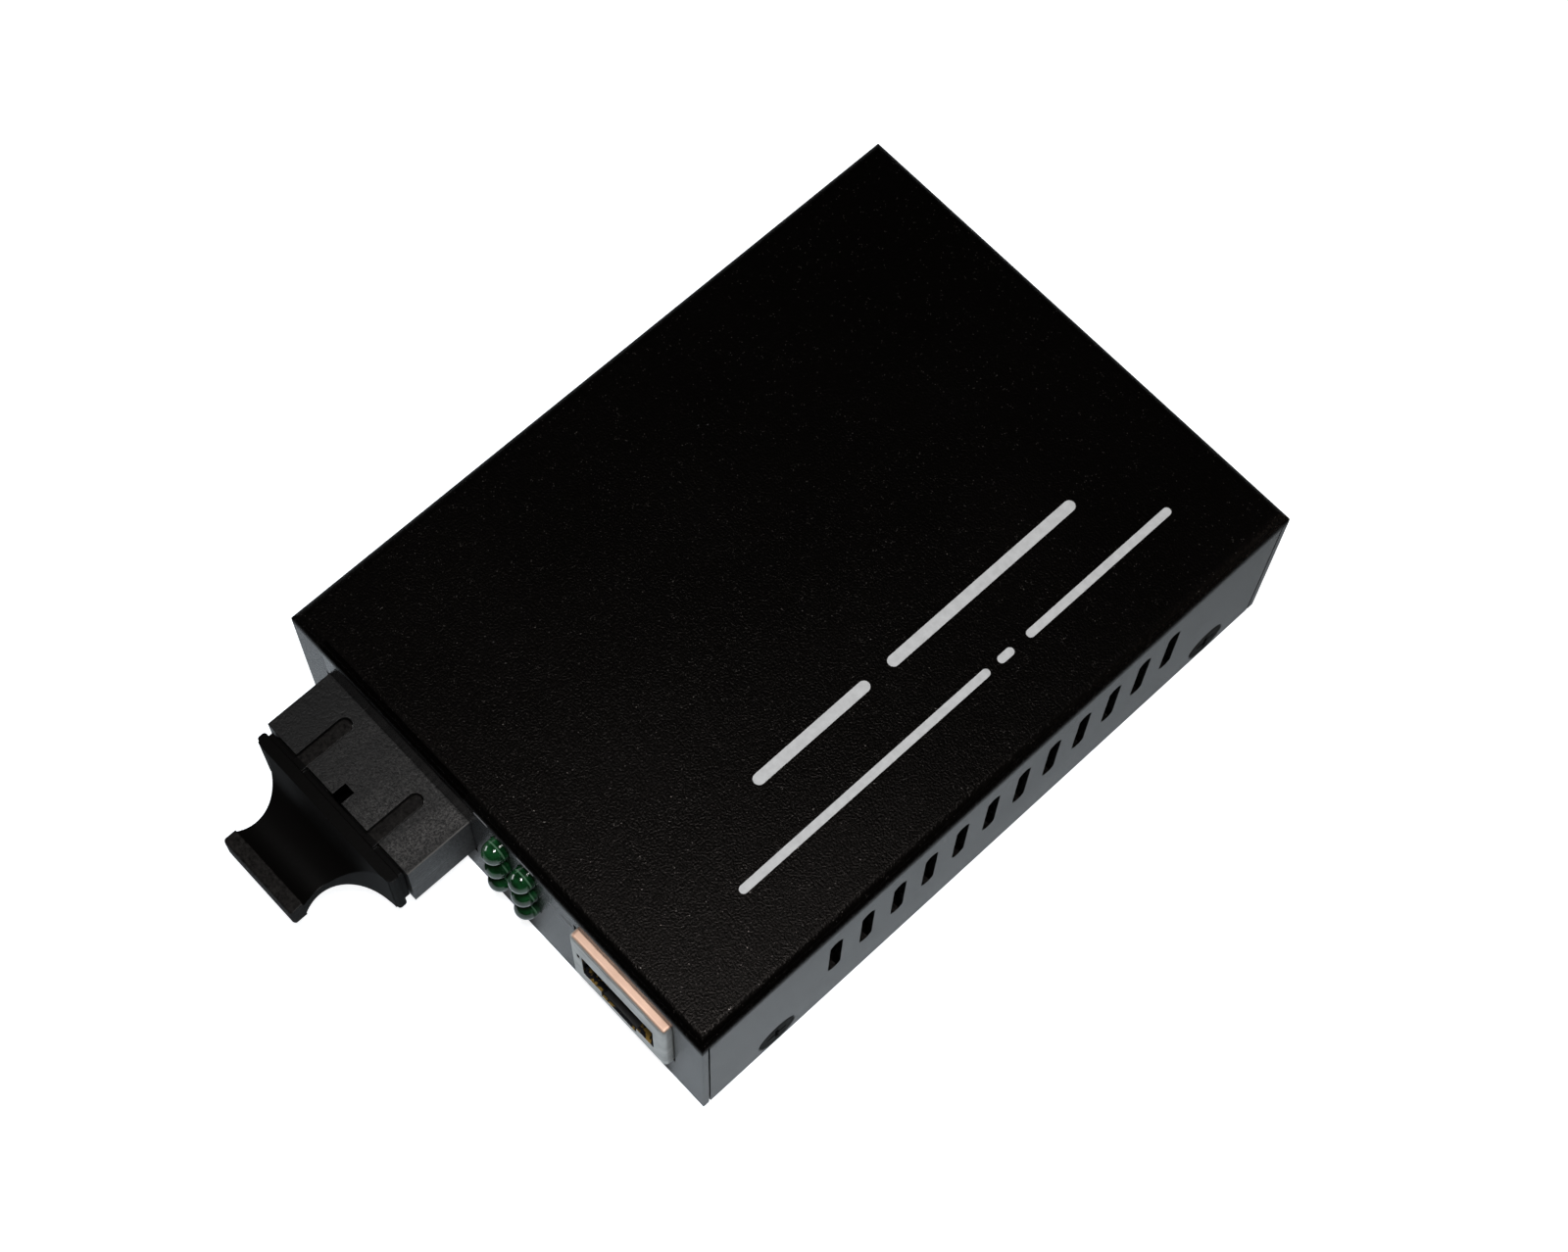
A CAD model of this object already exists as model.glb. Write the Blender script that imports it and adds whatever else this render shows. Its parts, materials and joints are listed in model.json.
import json
import math

import bmesh
import bpy
from mathutils import Matrix, Vector


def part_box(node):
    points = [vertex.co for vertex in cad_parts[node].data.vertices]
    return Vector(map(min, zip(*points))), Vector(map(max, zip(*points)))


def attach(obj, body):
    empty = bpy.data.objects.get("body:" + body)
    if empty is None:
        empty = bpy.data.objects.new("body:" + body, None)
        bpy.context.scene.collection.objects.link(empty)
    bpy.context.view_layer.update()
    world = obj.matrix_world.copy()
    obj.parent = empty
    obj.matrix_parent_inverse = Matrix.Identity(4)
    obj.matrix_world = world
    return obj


# A fibre media converter: the finish of its case, ports, plug and lamps, the plain print on it,
# a pale studio and the camera. Lengths are metres in the CAD part's own frame, and a value in
# millimetres has a comment that says so.

MM = 0.001
EDGE_SAMPLES = 6

# How far the floor reaches and where it is palest in metres, and its drop below the case in millimetres.
FLOOR_REACH = 3.0
POOL_PLACE = (0.02, -0.07, 0)
FLOOR_DROP = 0.02

# The ink's thickness in millimetres, and the steps of a bar's round end.
INK_THICKNESS = 0.02
ROUND_STEPS = 8

# Rows of printed bars in millimetres: name, middle line, width, and where each bar starts and ends.
TOP_ROWS = (
    ("top_print_large", 16.4, 1.5, ((-22, -4.1), (-0.9, 29.4))),
    ("top_print_small", 24.7, 1.1, ((-31.9, 7.1), (8.6, 11), (13.3, 37.1))),
)
FRONT_ROWS = (
    ("front_print_lamps", 25.2, 0.7, ((-3, -0.6), (4.3, 7.2))),
    ("front_print_jack", 20.2, 0.7, ((9.3, 10.6), (11.2, 13.2))),
)

# The coat's sheen, how far its shading leans over below the fold in millimetres, and its colours.
COAT_SHEEN = 0.082
FOLD_LEAN = 0.75
COAT_BLACK = (0.0005, 0.0004, 0.00035)
TRAY_BLACK = (0.0008, 0.0007, 0.0006)
FLECK = (0.07, 0.064, 0.06)
WALL_GRAIN = (0.018, 0.018, 0.0185)
DUST = (0.05, 0.05, 0.05)

# The mouldings' colours, the depth of the plug's grip bar and the jack's rim, in millimetres.
PORT_BLACK = (0.0035, 0.0033, 0.0033)
PORT_RUBBED = (0.09, 0.085, 0.082)
PIT_BLACK = (0.0003, 0.0003, 0.0003)
PLUG_BLACK = (0.0012, 0.001, 0.0009)
PLUG_DUST = (0.022, 0.02, 0.019)
JACK_DARK = (0.0015, 0.0016, 0.004)
GRIP_BAR = 1.95
JACK_RIM = 0.9

# Light: how bright the floor looks to the camera, and each lamp's power in watts.
FLOOR_GLOW = 0.87
FLASH_POWER = 0.95
BACK_POWER = 2.0
LEFT_POWER = 1.6

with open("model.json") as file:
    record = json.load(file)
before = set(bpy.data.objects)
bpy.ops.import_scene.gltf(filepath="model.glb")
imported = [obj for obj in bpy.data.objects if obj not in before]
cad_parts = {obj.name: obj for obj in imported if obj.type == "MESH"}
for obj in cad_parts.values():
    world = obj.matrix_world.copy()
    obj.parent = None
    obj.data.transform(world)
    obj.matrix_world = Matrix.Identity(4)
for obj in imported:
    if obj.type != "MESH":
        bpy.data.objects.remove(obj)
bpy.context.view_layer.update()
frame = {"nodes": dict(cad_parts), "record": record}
NODES = frame["nodes"]

# Places read from the frame: the cover, the port with its notch and parting, the plug and the jack.
CASE_LOW, CASE_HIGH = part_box("top_cover")
PORT_LOW, PORT_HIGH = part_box("optic_upper_shell")
PLUG_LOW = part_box("dust_plug")[0]
JACK_LOW, JACK_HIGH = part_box("jack_shield")
PORT_MIDDLE = (PORT_LOW[0] + PORT_HIGH[0]) / 2
NOTCH_LOW = (PORT_MIDDLE - 0.9 * MM, PORT_LOW[1] - MM, PORT_HIGH[2] - 4 * MM)
NOTCH_HIGH = (PORT_MIDDLE + 0.9 * MM, PORT_LOW[1] + 2 * MM, PORT_HIGH[2] - 0.05 * MM)
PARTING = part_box("optic_lower_shell")[1][2]


# ---------------------------------------------------------------- shader helpers

class Finish:
    """A node material under construction: one Principled shader and the textures that drive it."""

    def __init__(self, name, color, roughness, metallic=0.0, specular=0.5, edge=0.0):
        self.material = bpy.data.materials.new(name)
        self.material.use_nodes = True
        self.tree = self.material.node_tree
        self.shader = self.tree.nodes["Principled BSDF"]
        self.shader.inputs["Base Color"].default_value = (*color, 1.0)
        self.shader.inputs["Roughness"].default_value = roughness
        self.shader.inputs["Metallic"].default_value = metallic
        self.shader.inputs["Specular IOR Level"].default_value = specular
        self.place = self.add("ShaderNodeTexCoord").outputs["Object"]
        self.normal = None
        if edge:
            rounded = self.add("ShaderNodeBevel", samples=EDGE_SAMPLES)
            rounded.inputs["Radius"].default_value = edge * MM
            self.normal = rounded.outputs["Normal"]
            self.link(self.normal, self.shader.inputs["Normal"])

    def add(self, kind, **settings):
        node = self.tree.nodes.new(kind)
        for key, value in settings.items():
            setattr(node, key, value)
        return node

    def link(self, source, target):
        self.tree.links.new(source, target)

    def noise(self, grain, detail=2.0, roughness=0.5, stretch=(1, 1, 1)):
        """Noise whose grain is a length in millimetres."""
        mapping = self.add("ShaderNodeMapping")
        mapping.inputs["Scale"].default_value = stretch
        self.link(self.place, mapping.inputs["Vector"])
        node = self.add("ShaderNodeTexNoise")
        node.inputs["Scale"].default_value = 1 / (grain * MM)
        node.inputs["Detail"].default_value = detail
        node.inputs["Roughness"].default_value = roughness
        self.link(mapping.outputs["Vector"], node.inputs["Vector"])
        return node.outputs["Fac"]

    def cells(self, grain):
        """Distance from the middle of a Voronoi cell; grain is the cells' size in millimetres."""
        node = self.add("ShaderNodeTexVoronoi")
        node.inputs["Scale"].default_value = 1 / (grain * MM)
        self.link(self.place, node.inputs["Vector"])
        return node.outputs["Distance"]

    def ramp(self, source, low, high, start=0.0, end=1.0):
        """Maps source from low..high to start..end, held flat outside."""
        node = self.add("ShaderNodeMapRange")
        for key, value in (("From Min", low), ("From Max", high), ("To Min", start), ("To Max", end)):
            node.inputs[key].default_value = value
        self.link(source, node.inputs["Value"])
        return node.outputs["Result"]

    def math(self, operation, a, b):
        node = self.add("ShaderNodeMath", operation=operation)
        for socket, value in zip(node.inputs, (a, b)):
            if isinstance(value, (int, float)):
                socket.default_value = value
            else:
                self.link(value, socket)
        return node.outputs["Value"]

    def axis(self, name, vector=None):
        """One part of a vector, or of the shaded point's place in metres."""
        node = self.add("ShaderNodeSeparateXYZ")
        self.link(vector or self.place, node.inputs["Vector"])
        return node.outputs[name]

    def within(self, low, high):
        """1 inside a box given by two corners in metres, and 0 outside."""
        mask = None
        for i, name in enumerate("XYZ"):
            along = self.axis(name)
            inside = self.math("MULTIPLY", self.math("GREATER_THAN", along, low[i]),
                               self.math("LESS_THAN", along, high[i]))
            mask = self.math("MULTIPLY", mask, inside) if mask else inside
        return mask

    def blend(self, mask, first, second):
        """Mixes two colours, or a socket and a colour, by a mask."""
        node = self.add("ShaderNodeMix", data_type="RGBA")
        self.link(mask, node.inputs["Factor"])
        for socket, value in ((node.inputs["A"], first), (node.inputs["B"], second)):
            if isinstance(value, tuple):
                socket.default_value = (*value, 1.0)
            else:
                self.link(value, socket)
        return node.outputs["Result"]

    def drive(self, socket, source):
        self.link(source, self.shader.inputs[socket])

    def bump(self, height, depth):
        """Adds a bump of that depth in millimetres on top of those before it."""
        node = self.add("ShaderNodeBump")
        node.inputs["Distance"].default_value = depth * MM
        self.link(height, node.inputs["Height"])
        if self.normal:
            self.link(self.normal, node.inputs["Normal"])
        self.normal = node.outputs["Normal"]
        self.link(self.normal, self.shader.inputs["Normal"])


# ---------------------------------------------------------------- finishes

def powder_coat(name, color):
    """Satin black powder coat: pebbled, with glinting flecks, grainy walls and a little dust.

    The shading leans over below the fold, and the wall behind the port is cleaner and smoother.
    """
    finish = Finish(name, color, 0.36, specular=COAT_SHEEN, edge=0.12)
    climb = finish.ramp(finish.axis("Z"), CASE_HIGH[2] - 3 * MM, CASE_HIGH[2] - 0.5 * MM)
    finish.bump(finish.math("SUBTRACT", 1.0, finish.math("MULTIPLY", climb, climb)), FOLD_LEAN)
    finish.shader.inputs["Specular Tint"].default_value = (1.0, 0.9, 0.84, 1.0)
    facing = finish.axis("Z", finish.add("ShaderNodeNewGeometry").outputs["Normal"])
    satin = finish.ramp(facing, 0.3, 0.95, 0.2, 0.29)
    rubbing = finish.ramp(finish.noise(18, 4), 0.35, 0.7, 0.0, 0.04)
    sheltered = finish.within((PORT_LOW[0], CASE_LOW[1] - MM, PORT_HIGH[2]),
                              (PORT_HIGH[0], CASE_LOW[1] + MM, CASE_HIGH[2]))
    coated = finish.math("ADD", satin, rubbing)
    finish.drive("Roughness", finish.math("SUBTRACT", coated, finish.math("MULTIPLY", sheltered, 0.14)))
    flecks = finish.ramp(finish.cells(0.36), 0.14, 0.24, 1.0, 0.0)
    chosen = finish.ramp(finish.noise(0.8, 1), 0.58, 0.63)
    bare = finish.math("SUBTRACT", chosen, sheltered)
    lit = finish.math("MULTIPLY", flecks, finish.math("MAXIMUM", bare, 0.0))
    upright = finish.ramp(facing, 0.1, 0.5, 1.0, 0.0)
    open_wall = finish.math("MULTIPLY", upright, finish.math("SUBTRACT", 1.0, sheltered))
    grain = finish.math("MULTIPLY", open_wall, finish.ramp(finish.noise(0.3, 4, 0.75), 0.46, 0.66))
    dust_cells = finish.ramp(finish.cells(2.2), 0.03, 0.05, 1.0, 0.0)
    dusty = finish.ramp(finish.noise(7, 2), 0.66, 0.7)
    dust = finish.math("MULTIPLY", dust_cells, dusty)
    grained = finish.blend(grain, color, WALL_GRAIN)
    speckled = finish.blend(lit, grained, FLECK)
    finish.drive("Base Color", finish.blend(dust, speckled, DUST))
    finish.drive("Metallic", lit)
    finish.bump(finish.noise(0.27, 2, 0.6), 0.07)
    finish.bump(finish.noise(1.4, 2), 0.008)
    return finish.material


def textured_plastic(name, color, grain, depth, roughness):
    """Black moulding or ferrite: finely pitted, with dusty high spots; grain and depth in millimetres."""
    finish = Finish(name, color, roughness, specular=0.3, edge=0.12)
    mottle = finish.noise(grain, 5, 0.65)
    finish.drive("Roughness", finish.ramp(mottle, 0.3, 0.7, roughness - 0.08, roughness + 0.1))
    dust = finish.ramp(finish.noise(grain * 0.6, 6, 0.75, (1, 0.3, 1)), 0.5, 0.75)
    pale = tuple(channel * 3 + 0.008 for channel in color)
    finish.drive("Base Color", finish.blend(dust, color, pale))
    finish.bump(mottle, depth)
    finish.bump(finish.noise(grain / 3, 3), depth / 2)
    return finish.material


def port_plastic(name):
    """The port's moulding: rubbed paler to the right and on a corner, with a pit and a parting line."""
    finish = Finish(name, PORT_BLACK, 0.42, specular=0.24, edge=0.12)
    mottle = finish.noise(0.5, 5, 0.7)
    rubbed = finish.ramp(finish.axis("X"), PORT_LOW[0] + 1.7 * MM, PORT_HIGH[0] - 1.4 * MM)
    streak = finish.ramp(finish.noise(2.4, 4, 0.6, (1, 0.12, 1)), 0.4, 0.65)
    worn = finish.math("MULTIPLY", rubbed, finish.math("ADD", finish.math("MULTIPLY", streak, 0.6), 0.4))
    speckle = finish.ramp(finish.noise(0.24, 4, 0.75), 0.42, 0.68)
    pale = finish.math("MULTIPLY", worn, speckle)
    from_parting = finish.math("ABSOLUTE", finish.math("SUBTRACT", finish.axis("Z"), PARTING), 0)
    pit = finish.within(NOTCH_LOW, NOTCH_HIGH)
    worn_edge = 0.16 * MM
    corner = finish.within((PORT_HIGH[0] - worn_edge, PORT_LOW[1] - MM, PORT_HIGH[2] - worn_edge),
                           (PORT_HIGH[0] + MM, CASE_LOW[1], PORT_HIGH[2] + MM))
    pale = finish.math("MAXIMUM", pale, finish.math("MULTIPLY", corner, 1.6))
    moulded = finish.blend(pale, PORT_BLACK, PORT_RUBBED)
    finish.drive("Base Color", finish.blend(pit, moulded, PIT_BLACK))
    finish.drive("Metallic", pit)
    finish.drive("Roughness", finish.ramp(mottle, 0.3, 0.7, 0.38, 0.52))
    finish.bump(finish.ramp(from_parting, 0.0, 0.22 * MM), 0.18)
    finish.bump(mottle, 0.06)
    finish.bump(finish.noise(0.24, 2), 0.05)
    return finish.material


def smooth_plastic(name, color, roughness):
    """Moulding with a polished surface, faint flow marks and hairline scratches."""
    finish = Finish(name, color, roughness, specular=0.4, edge=0.18)
    flow = finish.noise(5, 3, 0.5, (1, 0.4, 1))
    finish.drive("Roughness", finish.ramp(flow, 0.3, 0.7, roughness - 0.06, roughness + 0.08))
    scratches = finish.ramp(finish.noise(0.6, 2, 0.5, (0.08, 1, 1)), 0.68, 0.72)
    pale = tuple(channel * 2 + 0.004 for channel in color)
    finish.drive("Base Color", finish.blend(scratches, color, pale))
    finish.bump(finish.noise(0.9, 3), 0.004)
    finish.bump(flow, 0.02)
    return finish.material


def plug_plastic(name):
    """The dust plug: polished black, duller on its sides, with dust on the bar and on its two keys."""
    finish = Finish(name, PLUG_BLACK, 0.3, specular=0.16, edge=0.18)
    along = finish.axis("Y")
    bar = finish.math("LESS_THAN", along, PLUG_LOW[1] + GRIP_BAR * MM)
    keys = finish.math("GREATER_THAN", along, PORT_LOW[1])
    smudge = finish.ramp(finish.noise(0.4, 5, 0.75), 0.35, 0.75)
    dusty = finish.math("MULTIPLY", finish.math("MAXIMUM", bar, keys), smudge)
    finish.drive("Base Color", finish.blend(dusty, PLUG_BLACK, PLUG_DUST))
    facing = finish.add("ShaderNodeNewGeometry").outputs["Normal"]
    upright = finish.ramp(finish.axis("Z", facing), 0.2, 0.7, 0.85, 0.3)
    finish.drive("Roughness", upright)
    finish.bump(finish.noise(0.4, 3), 0.012)
    finish.bump(finish.noise(5, 3, 0.5, (1, 0.4, 1)), 0.02)
    return finish.material


def black_oxide(name):
    """Dull black screws, the same dark tone as the case."""
    finish = Finish(name, (0.001, 0.001, 0.001), 0.5, specular=0.1, edge=0.08)
    finish.drive("Roughness", finish.ramp(finish.noise(1.5, 3), 0.3, 0.7, 0.7, 0.85))
    finish.bump(finish.noise(0.2, 2), 0.01)
    return finish.material


def plated_metal(name, color, roughness):
    """Bright plating over rolled sheet, with a faint grain and cloudy handling marks."""
    finish = Finish(name, color, roughness, metallic=1.0, edge=0.08)
    cloud = finish.noise(2.6, 4)
    finish.drive("Roughness", finish.ramp(cloud, 0.3, 0.7, roughness - 0.05, roughness + 0.1))
    dull = tuple(channel * 0.8 for channel in color)
    finish.drive("Base Color", finish.blend(finish.ramp(cloud, 0.45, 0.75), color, dull))
    finish.bump(finish.noise(0.12, 2, 0.5, (1, 1, 0.1)), 0.0015)
    return finish.material


def jack_plating(name):
    """Thin satin plating: peach on top, duller grey on the upright faces, dark down the opening."""
    finish = Finish(name, (0.45, 0.45, 0.43), 0.5, metallic=0.8, edge=0.1)
    upward = finish.math("GREATER_THAN", finish.axis("Z"), JACK_HIGH[2] - 0.12 * MM)
    cloud = finish.noise(2.2, 4)
    grey = finish.blend(finish.ramp(cloud, 0.4, 0.7), (0.5, 0.5, 0.48), (0.4, 0.4, 0.39))
    skin = finish.blend(upward, grey, (0.62, 0.42, 0.32))
    opening = finish.within((JACK_LOW[0] + JACK_RIM * MM, JACK_LOW[1] + 0.04 * MM, JACK_LOW[2]),
                            (JACK_HIGH[0] - JACK_RIM * MM, JACK_HIGH[1], JACK_HIGH[2] - 0.3 * MM))
    flashes = finish.ramp(finish.noise(0.7, 3), 0.5, 0.56)
    inner = finish.blend(flashes, JACK_DARK, (0.16, 0.1, 0.02))
    finish.drive("Base Color", finish.blend(opening, skin, inner))
    finish.drive("Roughness", finish.ramp(cloud, 0.3, 0.7, 0.46, 0.6))
    finish.bump(finish.noise(0.15, 2, 0.5, (0.1, 1, 1)), 0.002)
    return finish.material


def lamp_epoxy(name):
    """Dark green epoxy with a clear glossy skin, cloudy inside, and a pale line at the dome's foot."""
    deep = (0.003, 0.03, 0.008)
    finish = Finish(name, deep, 0.1, specular=0.5)
    finish.shader.inputs["Transmission Weight"].default_value = 0.35
    finish.shader.inputs["IOR"].default_value = 1.52
    finish.shader.inputs["Coat Weight"].default_value = 0.3
    finish.shader.inputs["Coat Roughness"].default_value = 0.04
    cloud = finish.ramp(finish.noise(1.6, 3), 0.42, 0.66)
    body = finish.blend(cloud, deep, (0.012, 0.11, 0.03))
    along = finish.axis("Y")
    foot = finish.math("MULTIPLY", finish.math("GREATER_THAN", along, CASE_LOW[1] - 0.7 * MM),
                       finish.math("LESS_THAN", along, CASE_LOW[1] - 0.5 * MM))
    finish.drive("Base Color", finish.blend(foot, body, (0.1, 0.22, 0.13)))
    finish.drive("Roughness", finish.ramp(cloud, 0, 1, 0.08, 0.16))
    finish.bump(finish.noise(0.5, 2), 0.003)
    return finish.material


def solder_mask(name):
    """Green solder mask over copper tracks that run side by side in slanted bundles."""
    finish = Finish(name, (0.01, 0.09, 0.035), 0.3)
    waves = finish.add("ShaderNodeTexWave", wave_type="BANDS", bands_direction="DIAGONAL")
    waves.inputs["Scale"].default_value = 260
    waves.inputs["Distortion"].default_value = 0.0
    finish.link(finish.place, waves.inputs["Vector"])
    bundles = finish.ramp(finish.noise(9, 1), 0.5, 0.53)
    tracks = finish.math("MULTIPLY", finish.ramp(waves.outputs["Fac"], 0.5, 0.6), bundles)
    finish.drive("Base Color", finish.blend(tracks, (0.008, 0.075, 0.03), (0.02, 0.16, 0.06)))
    finish.drive("Roughness", finish.ramp(finish.noise(3, 3), 0.3, 0.7, 0.25, 0.38))
    finish.bump(tracks, 0.03)
    finish.bump(finish.noise(0.4, 2), 0.004)
    return finish.material


def ceramic(name):
    """Pale fired ceramic with a fine ground skin."""
    finish = Finish(name, (0.78, 0.77, 0.74), 0.2)
    finish.drive("Roughness", finish.ramp(finish.noise(0.8, 3), 0.3, 0.7, 0.15, 0.3))
    finish.bump(finish.noise(0.2, 2, 0.5, (1, 0.1, 1)), 0.002)
    return finish.material


def print_ink(name, color):
    """Screen-printed ink: slightly uneven cover and a soft matte skin."""
    finish = Finish(name, color, 0.55, specular=0.3)
    thin = finish.ramp(finish.noise(0.9, 4, 0.6), 0.35, 0.75)
    worn = tuple(channel * 0.82 for channel in color)
    finish.drive("Base Color", finish.blend(thin, color, worn))
    finish.drive("Roughness", finish.ramp(finish.noise(0.5, 2), 0.3, 0.7, 0.48, 0.62))
    finish.bump(finish.noise(0.3, 3), 0.008)
    return finish.material


FINISHES = {
    "black_powder_coat": powder_coat("powder_coat_cover", COAT_BLACK),
    "tray_coat": powder_coat("powder_coat_tray", TRAY_BLACK),
    "black_screw": black_oxide("black_oxide"),
    "zinc_screw": plated_metal("zinc", (0.55, 0.56, 0.58), 0.3),
    "brass_spacer": plated_metal("brass", (0.6, 0.42, 0.16), 0.28),
    "board_green": solder_mask("board_mask"),
    "port_black_plastic": port_plastic("port_plastic"),
    "plug_black_plastic": plug_plastic("plug_plastic"),
    "latch_plastic": smooth_plastic("latch_plastic", (0.05, 0.05, 0.055), 0.4),
    "white_ceramic": ceramic("sleeve_ceramic"),
    "gold_plate": plated_metal("gold_plate", (0.8, 0.55, 0.22), 0.2),
    "contact_plate": plated_metal("contact_gold", (0.85, 0.62, 0.28), 0.16),
    "jack_plate": jack_plating("jack_plating"),
    "jack_black_plastic": smooth_plastic("jack_plastic", JACK_DARK, 0.4),
    "lamp_green": lamp_epoxy("lamp_epoxy"),
    "holder_plastic": smooth_plastic("holder_plastic", (0.006, 0.006, 0.006), 0.45),
    "chip_black": textured_plastic("moulded_epoxy", (0.012, 0.012, 0.013), 0.5, 0.01, 0.5),
    "capacitor_sleeve": smooth_plastic("capacitor_sleeve", (0.01, 0.014, 0.05), 0.3),
    "ferrite": textured_plastic("ferrite", (0.03, 0.03, 0.03), 0.3, 0.02, 0.6),
}


def finish_nodes():
    """Gives every CAD node the finish of its slot."""
    for row in frame["record"]["subparts"]:
        node = NODES[row["node"]]
        node.data.materials.clear()
        node.data.materials.append(FINISHES[row["material_slot"]])


# ---------------------------------------------------------------- print on the case

def bar_outline(start, end, middle, width):
    """A flat bar with round ends, from start to end along one axis, as a list of points."""
    radius = width / 2
    points = []
    for turn, centre in ((-90, end - radius), (90, start + radius)):
        for step in range(ROUND_STEPS + 1):
            angle = math.radians(turn + 180 * step / ROUND_STEPS)
            points.append((centre + radius * math.cos(angle), middle + radius * math.sin(angle)))
    return points


def print_piece(name, bars, to_place, ink):
    """A row of thin raised bars of ink; to_place turns (along, across, rise) into a place in metres."""
    mesh = bmesh.new()
    for bar in bars:
        outline = bar_outline(*bar)
        low = [mesh.verts.new(to_place(along, across, 0)) for along, across in outline]
        high = [mesh.verts.new(to_place(along, across, INK_THICKNESS)) for along, across in outline]
        mesh.faces.new(high)
        mesh.faces.new(low[::-1])
        for i in range(len(outline)):
            j = (i + 1) % len(outline)
            mesh.faces.new((low[i], low[j], high[j], high[i]))
    bmesh.ops.recalc_face_normals(mesh, faces=mesh.faces)
    data = bpy.data.meshes.new(name)
    mesh.to_mesh(data)
    mesh.free()
    piece = bpy.data.objects.new(name, data)
    bpy.context.scene.collection.objects.link(piece)
    data.materials.append(ink)
    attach(piece, "case")


def print_case():
    """Plain bars where the case is printed: two rows on the top, and short ones by the lamps."""
    def on_top(along, across, rise):
        return across * MM, along * MM, CASE_HIGH[2] + rise * MM

    def on_front(along, across, rise):
        return along * MM, CASE_LOW[1] - rise * MM, across * MM

    pale_ink = print_ink("pale_ink", (0.55, 0.56, 0.57))
    faint_ink = print_ink("faint_ink", (0.2, 0.2, 0.21))
    for name, middle, width, spans in TOP_ROWS:
        print_piece(name, [(*span, middle, width) for span in spans], on_top, pale_ink)
    for name, middle, width, spans in FRONT_ROWS:
        print_piece(name, [(*span, middle, width) for span in spans], on_front, faint_ink)


# ---------------------------------------------------------------- studio and camera

def area_light(name, place, aim, size, power, color=(1, 1, 1)):
    data = bpy.data.lights.new(name, "AREA")
    data.shape = "RECTANGLE"
    data.size, data.size_y = size
    data.energy = power
    data.color = color
    light = bpy.data.objects.new(name, data)
    bpy.context.scene.collection.objects.link(light)
    direction = Vector(aim) - Vector(place)
    turn = direction.to_track_quat("-Z", "Y").to_matrix().to_4x4()
    light.matrix_world = Matrix.Translation(place) @ turn


def light_path(finish, camera, mirrored):
    """How strongly a glow is seen by the camera, and by mirrors and glass."""
    path = finish.add("ShaderNodeLightPath")
    reflected = finish.math("MAXIMUM", path.outputs["Is Glossy Ray"], path.outputs["Is Transmission Ray"])
    direct = finish.math("MULTIPLY", path.outputs["Is Camera Ray"], camera)
    return finish.math("ADD", direct, finish.math("MULTIPLY", reflected, mirrored))


def add_glow(finish, strength):
    """Adds a white glow over the lit surface and its shadows."""
    glow = finish.add("ShaderNodeEmission")
    glow.inputs["Color"].default_value = (1.0, 1.0, 1.0, 1.0)
    finish.link(strength, glow.inputs["Strength"])
    both = finish.add("ShaderNodeAddShader")
    finish.link(finish.shader.outputs["BSDF"], both.inputs[0])
    finish.link(glow.outputs["Emission"], both.inputs[1])
    finish.link(both.outputs["Shader"], finish.tree.nodes["Material Output"].inputs["Surface"])


def pale_floor():
    """A wide plain floor just under the case, palest in front of its near corner."""
    mesh = bmesh.new()
    corners = [mesh.verts.new((x * FLOOR_REACH, y * FLOOR_REACH, -FLOOR_DROP * MM))
               for x, y in ((-1, -1), (1, -1), (1, 1), (-1, 1))]
    mesh.faces.new(corners)
    data = bpy.data.meshes.new("floor")
    mesh.to_mesh(data)
    mesh.free()
    floor = bpy.data.objects.new("floor", data)
    bpy.context.scene.collection.objects.link(floor)
    finish = Finish("floor_paper", (0.8, 0.8, 0.8), 0.9, specular=0.0)
    away = finish.add("ShaderNodeVectorMath", operation="DISTANCE")
    finish.link(finish.place, away.inputs[0])
    away.inputs[1].default_value = POOL_PLACE
    far = finish.ramp(away.outputs["Value"], 0.03, 0.18)
    finish.drive("Base Color", finish.blend(far, (0.72, 0.8, 0.87), (0.42, 0.45, 0.48)))
    mirrored = finish.ramp(away.outputs["Value"], 0.03, 0.12, 0.08, 0.0)
    add_glow(finish, light_path(finish, FLOOR_GLOW, mirrored))
    data.materials.append(finish.material)


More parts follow.
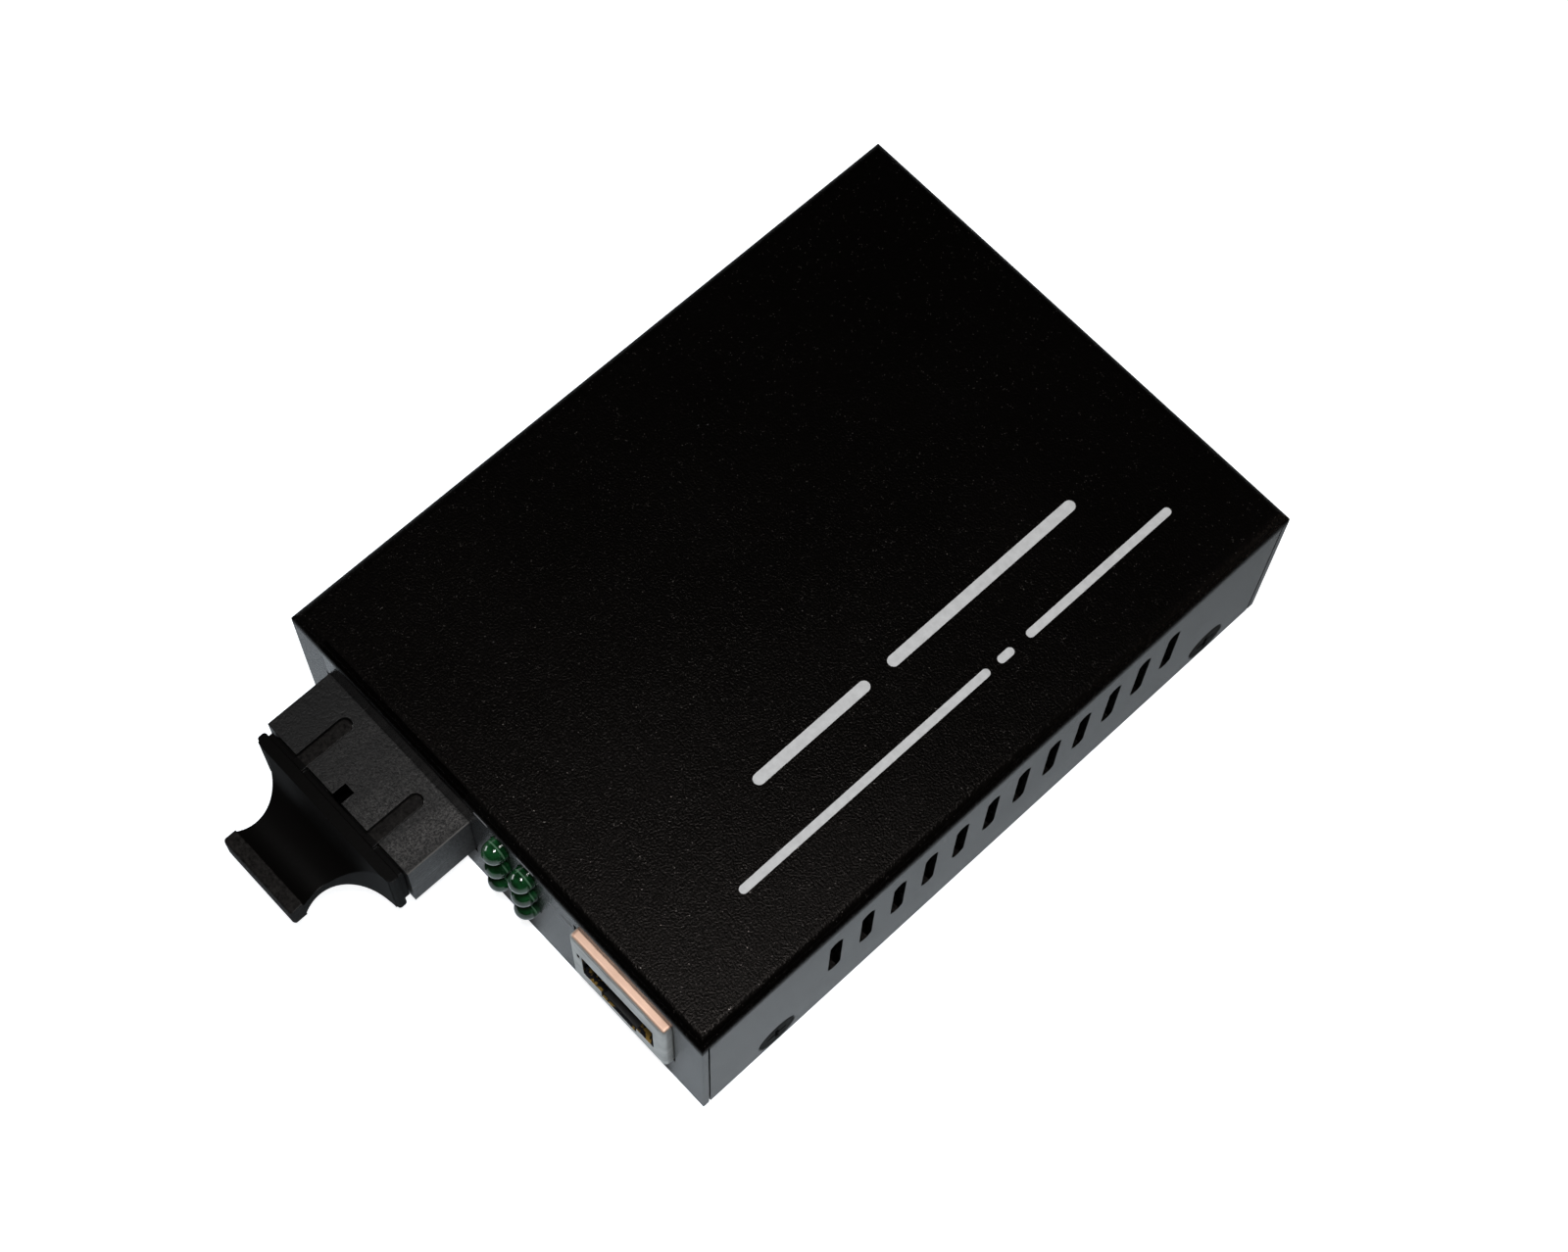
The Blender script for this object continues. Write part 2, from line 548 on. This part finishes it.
def world_light():
    """A dim warm room, seen white by the camera beyond the floor."""
    world = bpy.data.worlds.new("room")
    world.use_nodes = True
    tree = world.node_tree
    background = tree.nodes["Background"]
    path = tree.nodes.new("ShaderNodeLightPath")
    room = tree.nodes.new("ShaderNodeMix")
    room.data_type = "RGBA"
    tree.links.new(path.outputs["Is Camera Ray"], room.inputs["Factor"])
    room.inputs["A"].default_value = (0.022, 0.019, 0.016, 1)
    room.inputs["B"].default_value = (1, 1, 1, 1)
    tree.links.new(room.outputs["Result"], background.inputs["Color"])
    bpy.context.scene.world = world


def camera_axes():
    """The camera's place and its right, up and back, high over the front right corner."""
    azimuth = math.radians(43.959)
    elevation = math.radians(67.512)
    roll = math.radians(3.005)
    distance = 354.098 * MM
    across, along = -1.046 * MM, 3.028 * MM
    back = Vector((math.sin(azimuth) * math.cos(elevation),
                   -math.cos(azimuth) * math.cos(elevation), math.sin(elevation)))
    level_right = (-back).cross(Vector((0, 0, 1))).normalized()
    level_up = level_right.cross(-back)
    right = level_right * math.cos(roll) + level_up * math.sin(roll)
    up = level_up * math.cos(roll) - level_right * math.sin(roll)
    return back * distance + level_right * across + level_up * along, right, up, back


def photo_camera():
    place, right, up, back = camera_axes()
    data = bpy.data.cameras.new("camera")
    data.lens = 65.009
    data.sensor_fit = "HORIZONTAL"
    data.sensor_width = 36
    data.clip_start = 0.01
    camera = bpy.data.objects.new("camera", data)
    bpy.context.scene.collection.objects.link(camera)
    camera.matrix_world = Matrix.Translation(place) @ Matrix((right, up, back)).transposed().to_4x4()
    bpy.context.scene.camera = camera


def studio_lights():
    """A soft flash just over the lens, and low fills that keep the other sides readable."""
    place, _, up, back = camera_axes()
    over_lens = place + up * 0.05 + back * 0.02
    area_light("flash", over_lens, (0, 0, 0.02), (0.06, 0.06), FLASH_POWER)
    area_light("fill_back", (0.35, 0.6, 0.22), (0, 0, 0.01), (0.4, 0.2), BACK_POWER, (1.0, 0.9, 0.8))
    area_light("fill_left", (-0.6, -0.3, 0.2), (0, 0, 0.01), (0.4, 0.2), LEFT_POWER, (0.95, 0.97, 1.0))


finish_nodes()
print_case()
pale_floor()
world_light()
studio_lights()
photo_camera()
bpy.context.scene.view_settings.view_transform = "Standard"
